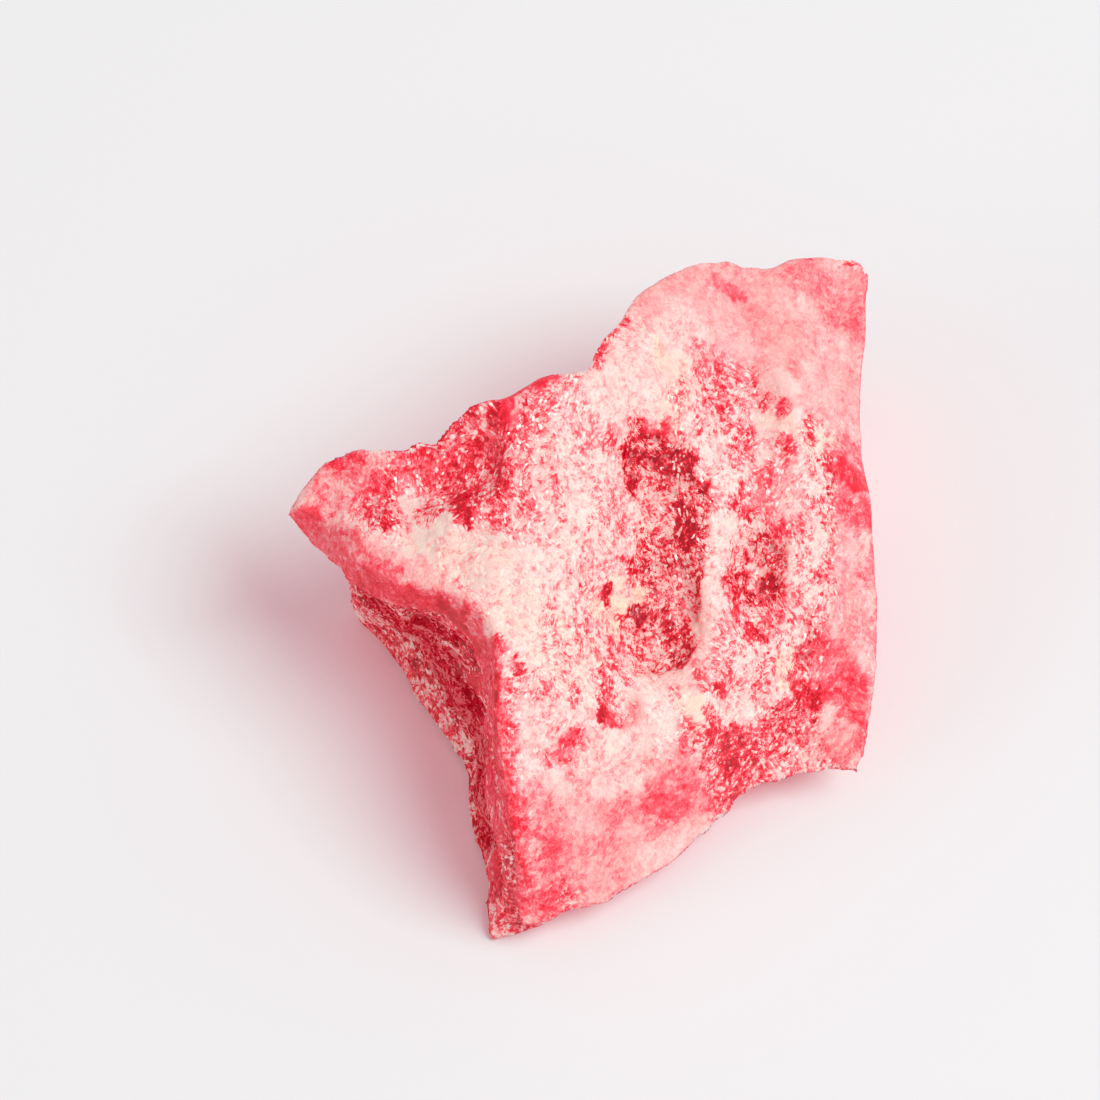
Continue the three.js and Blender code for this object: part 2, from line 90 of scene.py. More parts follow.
TONES = [
    # the tip
    ("tip", 0.39, 2.2, [(-13.4, 1.8), (-11, 2.4)]),
    ("tip's end", 0.4, 0.8, [(-14, 2.4), (-13.4, 3.2)]),
    ("tip blotch, back", 0.58, 0.6, [(-11.9, 3.6), (-10.7, 3.4)]),
    ("tip vein", 0.4, 0.25, [(-10.1, 3.8), (-10.5, 3), (-11.8, 2.7)]),
    ("tip blotch", 0.62, 0.9, [(-10.4, 1.7), (-9.6, 1)]),
    ("tip blotch's core", 0.68, 0.4, [(-9.8, 0.5), (-9.2, 0.5)]),
    ("tip blotch's top", 0.76, 0.5, [(-9.7, 2.7), (-9.5, 2)]),
    # the red shoulder
    ("pink behind the tip", 0.6, 0.5, [(-9, 3.2), (-8.8, 2)]),
    ("white border", 0.22, 0.42, [(-9.2, 4.5), (-8.6, 3.3), (-7.9, 2.2), (-8, 1.2), (-8, 0)]),
    ("shoulder", 0.8, 2.3, [(-7, 4), (-4.6, 3.1)]),
    ("shoulder's crest", 0.96, 1.3, [(-8, 4.6), (-6.6, 5.2), (-4.9, 5.5)]),
    ("red shoulder", 0.8, 1, [(-8.2, 4), (-7, 3.2), (-5.6, 3.4)]),
    ("shoulder, middle", 0.74, 1.1, [(-5.8, 4.1), (-4.6, 3)]),
    ("shoulder, front", 0.7, 1, [(-6, 2.1), (-4.9, 1.4), (-4.4, 1.2)]),
    ("shoulder's pale nick", 0.46, 0.3, [(-5, 5), (-5.1, 4.6)]),
    ("tongue", 0.95, 0.55, [(-5.6, 0.4), (-5.8, -1.3)]),
    ("blush before the shoulder", 0.36, 0.7, [(-7.6, 0.4), (-6.9, -0.4)]),
    ("patch beside the tongue", 0.66, 0.5, [(-7.1, 1), (-6.8, -0.3)]),
    ("fleck beside the tongue", 0.58, 0.32, [(-4.5, 0), (-4.1, -0.2)]),
    ("blush under the fleck", 0.32, 0.35, [(-3.5, -0.7), (-3.3, -1)]),
    ("orange-red facet", 0.72, 0.45, [(-3.7, 5), (-3.4, 5.8), (-2.2, 6.3), (-1.2, 6.7)]),
    ("pale band under the facet", 0.36, 0.4, [(-3.2, 5.1), (-2.4, 5.7)]),
    ("shoulder's frost", 0.52, 0.9, [(-2.9, 4.4), (-2, 5.2)]),
    ("speckled pink", 0.42, 0.6, [(-3.2, 3), (-3, 1.7)]),
    ("streaks behind the plateau", 0.42, 0.9, [(-0.9, 5.8), (0.4, 4.8), (0.9, 3.6)]),
    # the bruised plateau
    ("plateau", 0.22, 2, [(-7.2, -1.8), (-5.2, -2.8), (-2.4, -3.4), (-1.4, -6)]),
    ("plateau, left", 0.22, 1, [(-8.2, -2.2), (-6, -3.4), (-3.8, -5.4), (-3.3, -6.8)]),
    ("plateau, back", 0.3, 1.5, [(-1.6, 0.8), (0.2, -1.4), (0.4, 2.4)]),
    ("plateau, middle", 0.2, 0.8, [(-0.6, -1.6), (0.4, -2.4)]),
    ("plateau, front", 0.32, 1.2, [(-0.8, -7.2), (-0.4, -5)]),
    ("red grain, back", 0.46, 0.4, [(-1.6, 1.5), (-0.9, 1.3)]),
    ("pink grain behind it", 0.42, 0.5, [(-2.9, 1.4), (-2.6, 0.5)]),
    ("plateau's blush", 0.38, 0.4, [(0.1, -4.3), (0.3, -5.2)]),
    ("pink before the hollow", 0.4, 0.45, [(0.7, 1.5), (1.5, 1.3)]),
    ("pink round the fleck", 0.28, 0.5, [(-3.1, -6.9), (-3.4, -8.2)]),
    ("red fleck", 0.78, 0.24, [(-3.1, -7.5), (-3, -8)]),
    ("pink beside the rim", 0.33, 0.8, [(-2.2, -8.5), (-1.4, -9.2)]),
    ("rose beside the rim", 0.56, 0.55, [(-3.6, -8.8), (-3.6, -11.4)]),
    ("red grain, front", 0.54, 0.28, [(-0.5, -7.6), (-0.4, -8.4)]),
    # the upper end
    ("pale saddle", 0.25, 1.7, [(1.6, 6.8), (3, 8.4), (4.8, 10.4)]),
    ("pale saddle, right", 0.38, 0.8, [(5, 8.2), (5, 6.9)]),
    ("pale saddle, front", 0.2, 0.6, [(3.4, 7), (3.7, 6.3)]),
    ("saddle's red edge", 0.56, 0.35, [(0.6, 7.8), (1.1, 9.2), (1.6, 10.4)]),
    ("its far end", 0.74, 0.35, [(1.7, 11), (2.4, 11.7)]),
    ("saddle's pink back", 0.33, 0.8, [(2.8, 11.6), (3.8, 12.6)]),
    ("upper crest", 0.4, 0.8, [(4.2, 14), (6, 14.9), (8, 14.8), (9.6, 15.2)]),
    ("upper streak", 0.3, 0.3, [(4.9, 13), (6, 13.6)]),
    ("upper patch", 0.56, 0.6, [(6.8, 13.4), (7.6, 13.4)]),
    ("upper middle", 0.37, 1.3, [(6.6, 12.2), (9.4, 12)]),
    ("upper corner", 0.46, 1.8, [(11.4, 15.4), (12.8, 15), (13.2, 12.6)]),
    ("corner's red", 0.52, 0.6, [(12.2, 13.2), (13.2, 13)]),
    ("upper right side", 0.34, 1.8, [(12.4, 10.8), (12.6, 8)]),
    ("upper right blush", 0.34, 0.6, [(11.6, 11.2), (12.6, 10.8)]),
    ("dip", 0.46, 1.2, [(6.4, 9.6), (7, 7.4), (6.8, 5.4)]),
    ("dip's red", 0.6, 0.45, [(6.3, 7.6), (6.4, 6.8)]),
    ("dip, right", 0.44, 0.6, [(7.9, 9.6), (8.4, 9)]),
    ("dip's fleck", 0.28, 0.4, [(7.4, 8.4), (8.1, 8.1)]),
    ("dot beside the dip", 0.58, 0.28, [(8.6, 8.4), (8.8, 8.1)]),
    ("white beside the spot", 0.17, 0.65, [(8.5, 7), (9.2, 6.5), (10.4, 6.9)]),
    ("pale behind the spot", 0.2, 0.7, [(9.4, 9.1), (9.9, 8.6)]),
    ("small red spot", 0.62, 0.3, [(9.6, 7.5), (9.9, 7.2)]),
    ("rose behind the pocket", 0.62, 0.5, [(7.7, 5.9), (7.8, 4.6)]),
    # the right side
    ("pink middle", 0.38, 1, [(6.9, 4.4), (7.4, 2.4), (10.4, 4.6), (10.5, 1.2)]),
    ("red island", 0.62, 0.4, [(9.8, 5.5), (10, 4.5)]),
    ("red island, front", 0.55, 1, [(8.3, 2.6), (9, 3.2), (9.4, 1.8), (9.8, 1.6)]),
    ("pale river", 0.33, 0.5, [(11.5, 6.6), (11.2, 5), (11.1, 3.4), (11.4, 1.4), (11.6, -1.2)]),
    ("pale river's core", 0.13, 0.35, [(11.3, 2.2), (11.4, 0.4)]),
    ("pale river, front", 0.35, 0.7, [(10.5, -1.4), (10.4, -3), (9.2, -4.6), (9.5, -5.7), (8.7, -6.3)]),
    ("right edge", 0.54, 1.1, [(12.8, 5.8), (12.8, 4.4), (12.5, 2.6), (13.4, 2.8)]),
    ("right edge's red", 0.78, 0.75, [(12, 4.9), (13.2, 4.4)]),
    ("its front", 0.62, 0.6, [(12.1, 3.2), (12.8, 2.6)]),
    ("right edge's pink", 0.42, 1.1, [(13, 0.8), (13.2, -2.4)]),
    ("right edge's spot", 0.48, 0.35, [(12.4, -0.7), (12.7, -0.9)]),
    ("red slab's top", 0.58, 0.45, [(11.2, -2.1), (11.7, -3)]),
    ("red slab", 0.9, 1, [(11.2, -3.7), (11.2, -5), (10.8, -5.5)]),
    ("red slab, right", 0.62, 1.1, [(12.2, -4.4), (12.8, -5.5)]),
    ("red slab's foot", 0.52, 0.5, [(10.4, -6.3), (10.3, -7)]),
    ("right corner", 0.42, 1, [(12, -7.2), (12.8, -7.6)]),
    ("corner's edge", 0.56, 0.35, [(13.7, -6.4), (13.5, -7.6)]),
    ("corner's flecks", 0.42, 0.4, [(11, -7.1), (11.6, -6.9)]),
    ("corner's dark fleck", 0.66, 0.25, [(10.5, -7.5), (10.8, -7.8)]),
    ("right pocket", 0.62, 0.8, [(9, -0.4), (8.9, -1.8), (8.6, -2.8)]),
    ("pocket's core", 1.1, 0.5, [(8, -1.4), (8.6, -1.7), (9, -1.1)]),
    ("pocket's left", 0.52, 0.35, [(7.3, -0.7), (7.4, -1.4)]),
    ("pocket's front", 0.56, 0.5, [(7.4, -2.2), (7.7, -2.8)]),
    ("pocket's back", 0.6, 0.3, [(8.3, 1), (8.6, 0.4), (9, -0.1)]),
    ("pocket's lump", 0.08, 0.33, [(8.3, -0.5), (8.7, -0.4)]),
    ("red before the pocket", 0.8, 0.45, [(8.2, -3.3), (8.5, -3.9)]),
    ("white rib", 0.17, 0.45, [(7, 1.6), (6.9, -0.8), (6.6, -2), (6, -3.3)]),
    # the hollow
    ("hollow", 0.57, 1.5, [(4.6, 3.4), (4.8, 1.2), (4.4, -0.8), (3.9, -2.4)]),
    ("hollow, front", 0.52, 1.2, [(2.4, -4.2), (3.4, -4.8), (4.4, -4.6)]),
    ("pale round the end", 0.14, 0.5, [(2.3, 4.8), (1.7, 3.6), (1.7, 2.8)]),
    ("red end", 0.64, 0.6, [(3.4, 5.2), (4, 5.2), (3.2, 4.7)]),
    ("pink end", 0.58, 0.5, [(5, 5.1), (5.6, 4.6)]),
    ("dark end", 1, 0.45, [(2.9, 4.1), (3.6, 4), (4.5, 4.2), (5.3, 3.9)]),
    ("dark end, left", 1.25, 0.42, [(2.9, 3.3), (2.6, 2.7)]),
    ("dark right", 1.05, 0.42, [(5.3, 3.2), (5.9, 3)]),
    ("light lumps", 0.42, 0.5, [(3.2, 2.7), (4, 2.3)]),
    ("round lump", 0.2, 0.36, [(4.5, 3.3), (4.8, 3.2)]),
    ("white corner", 0.44, 0.22, [(5.7, 3.8), (5.9, 3.7)]),
    ("dark middle", 1.15, 0.6, [(4.9, 1.9), (5.3, 1.1), (5, 0.4)]),
    ("dark spot", 0.66, 0.3, [(3, -0.3), (3.1, -0.7)]),
    ("dark crystals", 0.84, 0.4, [(1.9, -1.3), (2.3, -1), (2.9, -1.3)]),
    ("dusky middle", 0.72, 0.5, [(4.2, -1), (4.6, -1.5)]),
    ("frost", 0.22, 0.55, [(5.6, -2.4), (5.5, -3.8)]),
    ("dark hole", 1.5, 0.42, [(2.8, -3.1), (3.2, -3.1)]),
    ("dark streak", 0.94, 0.35, [(3.4, -3.1), (4.1, -3.2), (4.4, -3.9)]),
    ("dark front", 0.86, 0.42, [(4.8, -4.1), (4.5, -4.9)]),
    ("lip", 0.36, 0.25, [(1.8, -6.4), (3.2, -6.3), (4.8, -5.9), (5.7, -4.8)]),
    ("red before the lip", 0.52, 0.3, [(1.1, -6.3), (1.9, -6.1)]),
    ("cream lumps", 0.2, 0.5, [(1.6, -2.5), (2.2, -2.8), (2.8, -2.4)]),
    ("cream lumps, left", 0.28, 0.35, [(0.9, -3.3), (1.5, -3.9)]),
    ("crack beside them", 1, 0.2, [(1.15, -2.4), (1.3, -3), (1.7, -3.4)]),
    # the front
    ("small red lump", 0.66, 0.38, [(5.7, -6.3), (6.5, -6.5)]),
    ("red pit", 0.62, 0.5, [(1.2, -8.3), (1.6, -9)]),
    ("red pit's core", 1.15, 0.4, [(0.9, -8.3), (1, -8.9)]),
    ("pink over the pit", 0.6, 0.38, [(1.1, -7.4), (1.2, -7.9)]),
    ("white beside the pit", 0.2, 0.6, [(2.6, -7.4), (3.8, -6.9)]),
    ("white nodule", 0.15, 0.75, [(5.1, -7.6), (5.6, -7.8)]),
    ("dots beside it", 0.55, 0.25, [(4.3, -7.1), (4.4, -7.5)]),
    ("white behind it", 0.24, 0.5, [(6.2, -7.2), (6.4, -7.5)]),
    ("pink before it", 0.66, 0.55, [(4.2, -8.9), (5.3, -8.9)]),
    ("front right", 0.47, 1.2, [(6.4, -9.8), (6.8, -8.9), (7.6, -9.4), (8.4, -8.8)]),
    ("front right red", 0.66, 0.7, [(6.4, -8.3), (7.2, -8.5), (7.4, -9.3)]),
    ("front right core", 0.84, 0.3, [(7, -8.7), (7.2, -9.1)]),
    ("front right, far", 0.5, 0.6, [(8.8, -7), (9.6, -7.9)]),
    ("front right corner", 0.44, 0.8, [(9.4, -8.8), (10.6, -8.6)]),
    ("lens", 0.24, 0.24, [(5.4, -9.3), (5.6, -9.9)]),
    ("front pale, middle", 0.25, 1.2, [(0.8, -11), (2.6, -9.8), (3.6, -9)]),
    ("red band", 0.54, 0.6, [(4.4, -10.6), (3.5, -11.3), (3, -12)]),
    ("red band's core", 0.42, 0.4, [(4.3, -10.7), (4.3, -11.7)]),
    ("pink before the band", 0.38, 0.7, [(2, -11.9), (1, -13)]),
    ("pink band", 0.68, 0.5, [(-0.3, -10.2), (-0.8, -10.6), (-1.5, -11.4)]),
    ("front pale", 0.27, 0.7, [(-2.4, -10.4), (-2.3, -11.8)]),
    ("front pale, left", 0.2, 0.35, [(-1, -12), (-0.7, -13)]),
    ("front pink", 0.31, 1.3, [(0.2, -13.4), (0.6, -15.2), (3.4, -13.2)]),
    ("front edge", 0.24, 0.7, [(3, -13.6), (4.8, -12.4), (6, -11.6)]),
    ("front edge, right", 0.28, 0.5, [(7.4, -10.9), (8.8, -10)]),
    ("front edge's blot", 0.24, 0.2, [(1.4, -15), (1.9, -14.7)]),
    ("front left facet", 0.41, 1.1, [(-2.6, -12.6), (-2.2, -14.2), (-1.7, -15.2)]),
    ("left end", 0.5, 0.8, [(-3.6, -16), (-1.8, -16.4)]),
    ("facet's light", 0.3, 0.5, [(-2.6, -15), (-2.3, -15.4)]),
    ("left streak", 0.84, 0.22, [(-3.5, -12.3), (-3.3, -13.3)]),
    ("left blot", 0.6, 0.3, [(-3.5, -15.8), (-3.2, -16.3)]),
    # the bevelled rim
    ("rim", 0.58, 1, [(-13.6, 0.8), (-12, -0.8), (-9.8, -2.5), (-8, -3.7)]),
    ("pink along the rim", 0.36, 0.5, [(-8.4, -2.5), (-6.6, -3.5), (-5.1, -4.9)]),
    ("rim's far end", 0.46, 0.6, [(-13.7, 0.9), (-12.8, 0)]),
    ("rim's glow", 0.8, 0.8, [(-6.9, -4.7), (-6, -5.4), (-5.3, -6.3)]),
    ("rim, front", 0.6, 0.7, [(-4.6, -6.6), (-4.5, -9.4), (-4.1, -12), (-3.6, -14)]),
    ("rim's core", 0.94, 0.2, [(-4.3, -7.6), (-4.2, -9), (-4.1, -10.4)]),
    ("rim's foot", 0.66, 0.5, [(-4.2, -13.6), (-3.9, -15.4)]),
]

# The cream tint's places, with its strength as the value.
CREAMS = [
    ("plateau's left", 0.14, 1.3, [(-7.6, -1.2), (-6.4, -2.2), (-4.6, -2.4)]),
    ("plateau", 0.19, 1.8, [(-3, -5), (-1.2, -6.6)]),
    ("cream lumps", 0.56, 0.6, [(1.6, -2.5), (2.2, -2.8), (2.8, -2.4)]),
    ("cream lumps, left", 0.62, 0.45, [(0.9, -3.3), (1.5, -3.9)]),
    ("beside the hollow", 0.25, 0.6, [(0.4, -5.6), (1, -6.6)]),
    ("beside the hollow, back", 0.31, 0.6, [(3.2, 1.2), (3, 0.1)]),
    ("saddle's vein", 0.43, 0.3, [(3.5, 10.8), (3.8, 9.6), (3.8, 8.8)]),
    ("saddle", 0.25, 0.9, [(4.9, 8.6), (4.9, 7), (4.2, 6)]),
    ("white nodule", 0.31, 0.8, [(5.1, -7.6), (5.6, -8.2)]),
    ("pale river", 0.19, 0.7, [(9, 6.8), (11.6, 5.8)]),
    ("red slab's border", 0.37, 0.5, [(10.1, -4.4), (9.9, -5.6)]),
]

# How smooth a place broke. Above 0 the relief is lower and the speckle is calmer. Below 0 coarse crystals
# stand out and the speckle is stronger, and beyond -1 the gloss is dull too.
SMOOTHS = [
    ("tip", 0.7, 2, [(-13.4, 1.8), (-11.4, 3.2)]),
    ("rim", 0.8, 1.1, [(-13.6, 1), (-12, -0.4), (-9.8, -2.1), (-7.4, -3.6), (-5.4, -5.6)]),
    ("rim, front", 0.6, 0.8, [(-4.8, -6.2), (-4.5, -9.4), (-4.1, -12), (-3.6, -14)]),
    ("orange-red facet", 0.9, 0.5, [(-3.7, 5), (-3.4, 5.8), (-2.2, 6.3), (-1.2, 6.7)]),
    ("front left facet", 0.7, 1.2, [(-2.4, -12.9), (-2.3, -15), (-2.3, -16.2)]),
    ("front", 0.9, 2.8, [(0.4, -13.4), (4, -11.6)]),
    ("upper end", 0.95, 3, [(5, 12), (6.6, 13), (11, 12), (12, 8.6)]),
    ("plateau, front", 0.4, 1.6, [(-2.2, -10.4), (1.6, -10), (3.2, -8.4)]),
    ("upper corner", 0.9, 1.8, [(10.6, 15.4), (12.8, 14.6), (13, 11.6)]),
    ("right edge", 0.8, 1.8, [(13.2, 6.4), (13.2, -7)]),
    ("hollow", -1, 1.7, [(3.4, 4.2), (4.8, 2), (4.2, -1), (3.6, -4.2)]),
    ("right pocket", -0.8, 1.1, [(8.6, 0.8), (8.4, -1.6)]),
    ("red shoulder", 0.1, 1.8, [(-7.6, 4), (-5, 3)]),
    ("front right", 0, 1.3, [(6.4, -8.6), (7.6, -9.2)]),
    ("hollow's red end", 0.6, 0.5, [(3.4, 5.4), (4.2, 5.4)]),
    ("pale river", -0.5, 0.8, [(11.4, 6.6), (11.2, 2.4), (11.6, -1.2), (10.4, -3), (8.9, -6.3)]),
    ("white rib", -0.3, 0.6, [(7, 1.6), (6.6, -2)]),
    ("pale saddle", 0.5, 1.5, [(2, 7.2), (3.4, 9), (4.8, 10.4)]),
    ("right middle", 0.3, 1.4, [(9.6, 5), (9.8, 2.2)]),
]

# The undercut wall under the left rim. Its foot counts as wall even where it faces up: that stroke has only a
# reach and a path.
WALL_SMOOTHS = [
    ("wall", -1.4, 4, [(-10, -2, 5), (-6.4, -4.4, 5), (-5, -8.4, 4), (-4.4, -13.6, 3)]),
]
WALL_FOOT = (2.8, [(-10.8, 0.6, 1.5), (-8, -3, 2), (-6, -6.2, 2.5), (-5, -10, 1.8)])
WALL_TONES = [
    ("wall", 0.99, 5, [(-10, -2, 6), (-6.4, -4.4, 5), (-5, -8.4, 5), (-4.4, -13.6, 4)]),
    ("wall under the tip", 1.25, 0.8, [(-12.2, 0.2, 7.4), (-10.4, -2, 7.6), (-8.8, -3.2, 7.6)]),
    ("wall under the corner", 1.45, 1, [(-7.4, -3.9, 7.6), (-6, -4.8, 7.4), (-5.2, -6, 7.4)]),
    ("rim's glow", 1, 0.8, [(-7.2, -4.2, 9), (-6.2, -5.2, 9.2), (-5.3, -6.3, 9.4)]),
    ("wall's dark seam", 1.35, 0.9, [(-8, -3, 4.6), (-6.6, -4.2, 4.4), (-5.4, -5.8, 4.2)]),
    ("wall's pale streak", 0.35, 0.3, [(-8.2, -3.4, 6.8), (-7, -4, 5.9), (-6, -4.9, 5.7)]),
    ("wall's pale patch", 0.34, 0.5, [(-9, -1.8, 2.6), (-8.2, -2.6, 2.4)]),
    ("wall's pale edge", 0.66, 0.7, [(-5.3, -6.6, 3.4), (-5, -9, 2.6), (-4.8, -11, 2)]),
    ("wall's red line", 1.3, 0.25, [(-5.1, -8, 3.2), (-4.9, -9.6, 3), (-4.6, -11.4, 2.8)]),
    ("wall's foot", 0.72, 0.9, [(-10.4, 0.2, 0.9), (-8, -3, 0.8), (-5.8, -7.4, 0.8)]),
]


# -------------------- settings


class ChipSettings(bpy.types.PropertyGroup):
    """Sizes of the chip's surface."""

    voxel: FloatProperty(
        name="Mesh spacing", description="Distance between the points of the chip's skin",
        default=0.165 * MM, min=0.1 * MM, unit="LENGTH", precision=5,
    )
    smoothing: IntProperty(
        name="Smoothing", description="How often the solid's facets are evened out first",
        default=9, min=0, max=30,
    )
    grain: FloatProperty(
        name="Grain", description="Size of the mineral's grains, as the frost shows them",
        default=0.32 * MM, unit="LENGTH", precision=5,
    )
    relief: FloatProperty(
        name="Relief", description="How strong the broken surface's relief is",
        default=0.85, subtype="FACTOR",
    )


def colour_property(name, description, hex_colour):
    return FloatVectorProperty(
        name=name, description=description, subtype="COLOR", size=3, min=0, max=1, default=linear(hex_colour),
    )


class ChipColours(bpy.types.PropertyGroup):
    """Colours of the mineral, from bruised white to the deepest red."""

    frost: colour_property("Frost", "Bruised and powdered mineral", "#fedfd6")
    blush: colour_property("Blush", "Frost with red showing through", "#fecfc9")
    pink: colour_property("Pink", "Fine-grained mineral", "#fca5a5")
    rose: colour_property("Rose", "Clear mineral near the surface", "#fb6a78")
    red: colour_property("Red", "Clear mineral that is seen into", "#f82c46")
    crimson: colour_property("Crimson", "Deep crystals of the hollow", "#d80420")
    # also used for the painted shade between the coarse crystals
    deep: colour_property("Deep crimson", "The darkest crystals, which no light comes back from", "#ae001f")
    glow: colour_property("Glow", "What one face leaves of the light that goes through", "#d07c98")
    ember: colour_property("Ember", "Light that comes out of the shaded side", "#ff2c40")
    cream: colour_property("Cream", "The yellowish mineral between the grains", "#fddfba")


class StageSettings(bpy.types.PropertyGroup):
    """The paper, the light and the camera."""

    paper: colour_property("Paper", "The sheet under the chip", "#e3e2e3")
    key_power: FloatProperty(
        name="Key light", description="Power of the soft light on the right", default=11.6, unit="POWER",
    )
    reflector_power: FloatProperty(
        name="Reflector", description="Power of the light that a white card throws back at the left",
        default=3.0, unit="POWER",
    )
    fill: FloatProperty(
        name="Fill", description="Strength of the light from all round", default=0.50, subtype="FACTOR",
    )
    distance: FloatProperty(
        name="Camera distance", description="From the camera to the middle of its view",
        default=330 * MM, unit="LENGTH",
    )
    view_width: FloatProperty(
        name="View width", description="Width of what the camera sees there", default=55 * MM, unit="LENGTH",
    )
    elevation: FloatProperty(
        name="Camera elevation", description="How high over the paper the camera looks from",
        default=math.radians(60), subtype="ANGLE", unit="ROTATION",
    )


# -------------------- chance

# Large numbers that carry neighbouring cells to values with nothing in common, and shifts that mix the bits.
AXIS_MIXERS = np.array((374761393, 668265263, 2147483647), np.uint32)
MIXERS = np.array((1103515245, 2246822519), np.uint32)
SHIFTS = np.array((13, 16, 15), np.uint32)
SALT_MIXER = 97531
SALT_START = 12345
LARGEST = 2**32 - 1

AXES = 3
CORNERS = tuple(itertools.product((0, 1), repeat=AXES))
NEIGHBOURS = tuple(itertools.product((-1, 0, 1), repeat=AXES))


def chance(cells, salt):
    """A repeatable number from 0 to 1 for each row of three whole numbers."""
    x, y, z = (cells.astype(np.int64).astype(np.uint32) * AXIS_MIXERS).T
    bits = x ^ y ^ z
    bits = (bits ^ np.uint32(salt * SALT_MIXER + SALT_START) ^ (bits >> SHIFTS[0])) * MIXERS[0]
    bits = (bits ^ (bits >> SHIFTS[1])) * MIXERS[1]
    return (bits ^ (bits >> SHIFTS[2])) / LARGEST


def three_chances(cells, salt):
    """Three repeatable numbers from 0 to 1 for each row of three whole numbers."""
    return np.stack([chance(cells, salt + axis) for axis in range(AXES)], axis=1)


def smooth_step(value, low, high):
    """Rises from 0 at low to 1 at high, with no corner at either end."""
    share = np.clip((value - low) / (high - low), 0, 1)
    return share * share * (3 - 2 * share)


class Patches(NamedTuple):
    """One way in which something varies from place to place."""

    amount: float
    apart: tuple  # along x, y and z, in millimetres
    salt: int


def swell(points, way, step=0):
    """A smooth rise and fall on either side of 0."""
    cell = points / np.array(way.apart)
    low = np.floor(cell)
    share = smooth_step(cell - low, 0, 1)
    total = np.zeros(len(points))
    for corner in CORNERS:
        weight = np.where(np.array(corner, bool), share, 1 - share).prod(axis=1)
        total += weight * chance(low + corner, way.salt + step)
    return way.amount * (total * 2 - 1)


def nearest_grains(points, way):
    """For each point, the middle of the grain that it is in and a number from -1 to 1 for that grain."""
    apart = np.array(way.apart)
    cell = points / apart
    base = np.floor(cell)
    nearest = np.full(len(points), np.inf)
    values = np.zeros(len(points))
    middles = np.zeros_like(points)
    for step in NEIGHBOURS:
        key = base + step
        middle = key + three_chances(key, way.salt)
        gap = ((cell - middle) ** 2).sum(axis=1)
        closer = gap < nearest
        values = np.where(closer, chance(key, way.salt + AXES) * 2 - 1, values)
        middles = np.where(closer[:, None], middle * apart, middles)
        nearest = np.minimum(nearest, gap)
    return middles, values


class Scars(NamedTuple):
    """One kind of dished scar. Each kind has a salt of its own, so that no two kinds fall alike."""

    apart: tuple  # between the dishes, along x, y and z, in millimetres
    rise: float  # how much some dishes stand higher than others, in millimetres
    lean: float  # the steepest slope of a dish
    dish: float  # how much higher a dish is one spacing away from its middle, in millimetres
    share: float  # how much of this kind goes into the relief
    salt: int


def scars(points, kind):
    """The height of dished scars that meet in sharp ridges: the deepest of the dishes round each point."""
    apart = np.array(kind.apart)
    cell = points / apart
    base = np.floor(cell)
    lowest = np.full(len(points), np.inf)
    for step in NEIGHBOURS:
        key = base + step
        away = cell - key - three_chances(key, kind.salt)
        leaning = three_chances(key, kind.salt + AXES) * 2 - 1
        height = kind.dish * (away**2).sum(axis=1) + kind.lean * (away * apart * leaning).sum(axis=1)
        lowest = np.minimum(lowest, height + kind.rise * (chance(key, kind.salt + 2 * AXES) * 2 - 1))
    return kind.share * lowest


# -------------------- strokes

EDGE = (0.68, 1.14)  # where a stroke begins to fade and where it ends, as shares of its reach


def stroke_share(points, reach, path):
    """How much of each point a stroke covers."""
    path = np.array(path, float)
    gap = np.full(len(points), np.inf)
    for start, end in zip(path[:-1], path[1:]):
        along = end - start
        share = np.clip((points - start) @ along / (along @ along), 0, 1)
        gap = np.minimum(gap, np.linalg.norm(points - start - share[:, None] * along, axis=1))
    return 1 - smooth_step(gap, EDGE[0] * reach, EDGE[1] * reach)


def paint(values, points, strokes, where):
    """Lays strokes over values in turn. The points have as many coordinates as the strokes' paths."""
    for _, value, reach, path in strokes:
        share = stroke_share(points, reach, path) * where
        values = values + (value - values) * share
    return values


# -------------------- skin

MERGE = 0.001 * MM  # corners of the solid that are nearer than this are one corner
PULL = 0.5  # how far one round of smoothing moves a point towards its neighbours' middle
COVERED = 0.5  # a point that a stroke covers more than this counts as under it

# Where the solid's edges are rounded off: a name, how far it reaches to each side, and a path of places.
SOFT_PLACES = [
    ("hollow", 3.2, [(3.6, 4.6), (4.8, 2.0), (4.4, -1.0), (3.8, -5.0)]),
    ("right pocket", 1.8, [(8.6, 1.6), (8.4, -2.4)]),
]
SOFT_PARTS = (1.0, 0.8, 0.65)  # the shares of the reach that are rounded off, one after another
SOFT_ROUNDS = 18  # how often each of them is smoothed
SOFT_ABOVE = 2.0  # the underside, lower than this in millimetres, stays as it is


def edit(mesh, change):
    """Changes a mesh through a bmesh."""
    work = bmesh.new()
    work.from_mesh(mesh)
    change(work)
    work.to_mesh(mesh)
    work.free()


def join_corners(work):
    bmesh.ops.remove_doubles(work, verts=work.verts, dist=MERGE)


def drop_crumbs(work):
    """Keeps only the largest connected piece of a mesh."""
    left = set(work.verts)
    pieces = []
    while left:
        piece = {left.pop()}
        edge = set(piece)
        while edge:
            edge = {e.other_vert(v) for v in edge for e in v.link_edges} - piece
            piece |= edge
        left -= piece
        pieces.append(piece)
    largest = max(pieces, key=len)
    bmesh.ops.delete(work, geom=[v for v in work.verts if v not in largest], context="VERTS")


